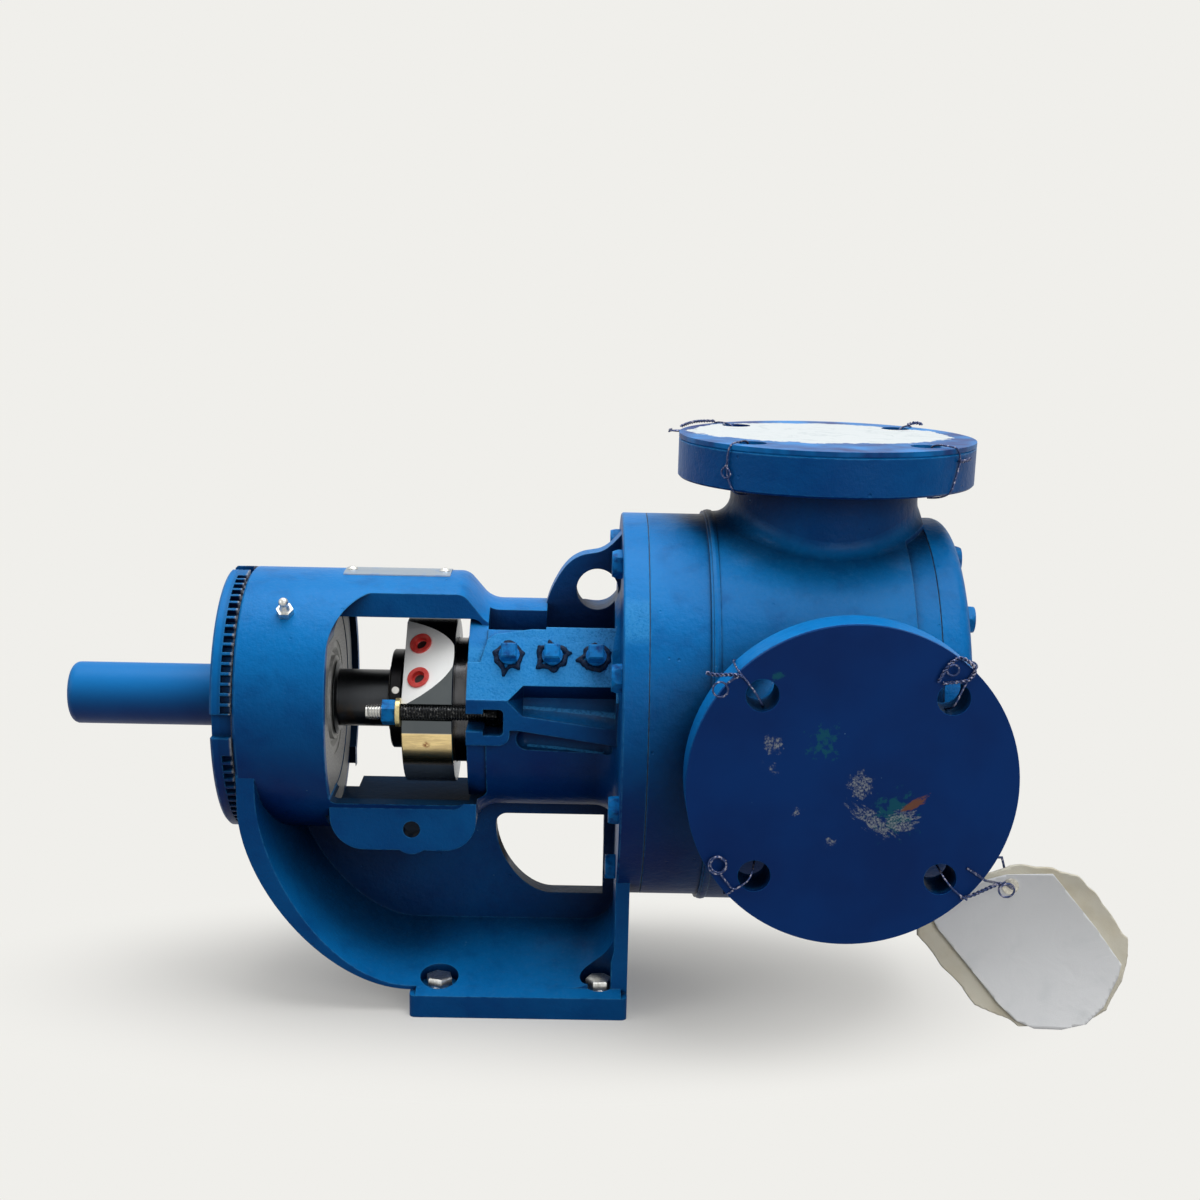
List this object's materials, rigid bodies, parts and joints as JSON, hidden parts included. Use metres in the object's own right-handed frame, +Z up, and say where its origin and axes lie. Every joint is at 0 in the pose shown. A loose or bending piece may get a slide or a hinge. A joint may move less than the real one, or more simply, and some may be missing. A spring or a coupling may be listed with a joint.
{
  "type": "internal gear pump",
  "caption": "Foot-mounted internal gear pump with a right-angle pair of flanged ports, an open bearing bracket and a cartridge shaft seal.",
  "frame": {"origin": "centre of the four foot bolt holes, on the foot's bottom face", "axes": "+X along the shaft from the drive end to the pump head, +Z up through the top port, -Y toward the side port"},
  "size_m": [0.6769, 0.3127, 0.3715],
  "materials": {
    "blue_paint": "satin",
    "gasket_sheet": "matte",
    "cover_sheet": "satin",
    "plug_paint": "satin",
    "plated_steel": "satin",
    "plate_aluminium": "satin",
    "bronze": "satin",
    "hard_steel": "polished",
    "cast_gear_iron": "machined",
    "shaft_steel": "satin",
    "black_rubber": "matte",
    "cage_steel": "satin",
    "seal_steel": "polished",
    "red_plastic": "gloss",
    "black_oxide": "satin",
    "carbon_ring": "satin",
    "white_card": "matte",
    "cream_pouch": "matte",
    "tie_wire": "satin"
  },
  "bodies": {
    "pump_body": {"bracket": "blue_paint", "casing": "blue_paint", "head": "blue_paint", "bracket_gasket": "gasket_sheet", "head_gasket": "gasket_sheet", "top_port_cover": "cover_sheet", "side_port_cover": "cover_sheet", "bracket_bolts": "blue_paint", "head_bolts": "blue_paint", "pipe_plugs": "plug_paint", "grease_fitting": "plated_steel", "nameplate": "plate_aluminium", "nameplate_screws": "plated_steel", "bracket_bushing": "bronze", "idler_pin": "hard_steel", "seal_gland": "seal_steel", "seal_plugs": "red_plastic", "fixed_seal_face": "carbon_ring", "adapter_ring": "black_oxide", "gland_bolts": "black_oxide", "gland_nuts": "blue_paint", "gland_washers": "bronze", "tag_wire": "tie_wire"},
    "bearing_carrier": {"bearing_housing": "blue_paint", "housing_screws": "plated_steel", "end_cap": "blue_paint", "outer_lip_seal": "black_rubber", "inner_lip_seal": "black_rubber", "bearing_cups": "hard_steel", "outer_spacer": "cage_steel"},
    "shaft_line": {"shaft": "shaft_steel", "rotor": "cast_gear_iron", "bearing_cones": "hard_steel", "inner_spacer": "cage_steel", "spacer_collar": "hard_steel", "half_rings": "hard_steel", "slinger": "black_rubber", "locknut": "cage_steel", "lockwasher": "cage_steel", "drive_collar": "black_oxide", "collar_screws": "plated_steel", "seal_sleeve": "seal_steel", "turning_seal_face": "carbon_ring", "seal_bellows": "seal_steel", "bellows_holder": "seal_steel"},
    "roller_set": {"bearing_rollers": "hard_steel", "bearing_cages": "cage_steel"},
    "idler_gear": {"idler": "cast_gear_iron", "idler_bushing": "bronze"},
    "hang_tag": {"tag_card": "white_card", "tag_pouch": "cream_pouch", "tag_eyelet": "plated_steel"}
  },
  "joints": [
    {"name": "shaft_spin", "type": "hinge", "parent": "pump_body", "child": "shaft_line", "pos_m": [0.078, 0, 0.1905], "axis": [1, 0, 0], "continuous": true},
    {"name": "idler_spin", "type": "hinge", "parent": "pump_body", "child": "idler_gear", "pos_m": [0.078, -0.01485, 0.20535], "axis": [1, 0, 0], "continuous": true},
    {"name": "roller_set_spin", "type": "hinge", "parent": "pump_body", "child": "roller_set", "pos_m": [-0.158, 0, 0.1905], "axis": [1, 0, 0], "continuous": true},
    {"name": "carrier_turn", "type": "hinge", "parent": "pump_body", "child": "bearing_carrier", "pos_m": [-0.158, 0, 0.1905], "axis": [1, 0, 0], "range_deg": [-15, 15]},
    {"name": "tag_swing", "type": "hinge", "parent": "pump_body", "child": "hang_tag", "pos_m": [0.297, -0.145, 0.1199], "axis": [0, 1, 0], "range_deg": [-15, 25]}
  ],
  "couplings": [
    {"joint": "idler_spin", "follows": "shaft_spin", "ratio": 1.375},
    {"joint": "roller_set_spin", "follows": "shaft_spin", "ratio": 0.431}
  ]
}
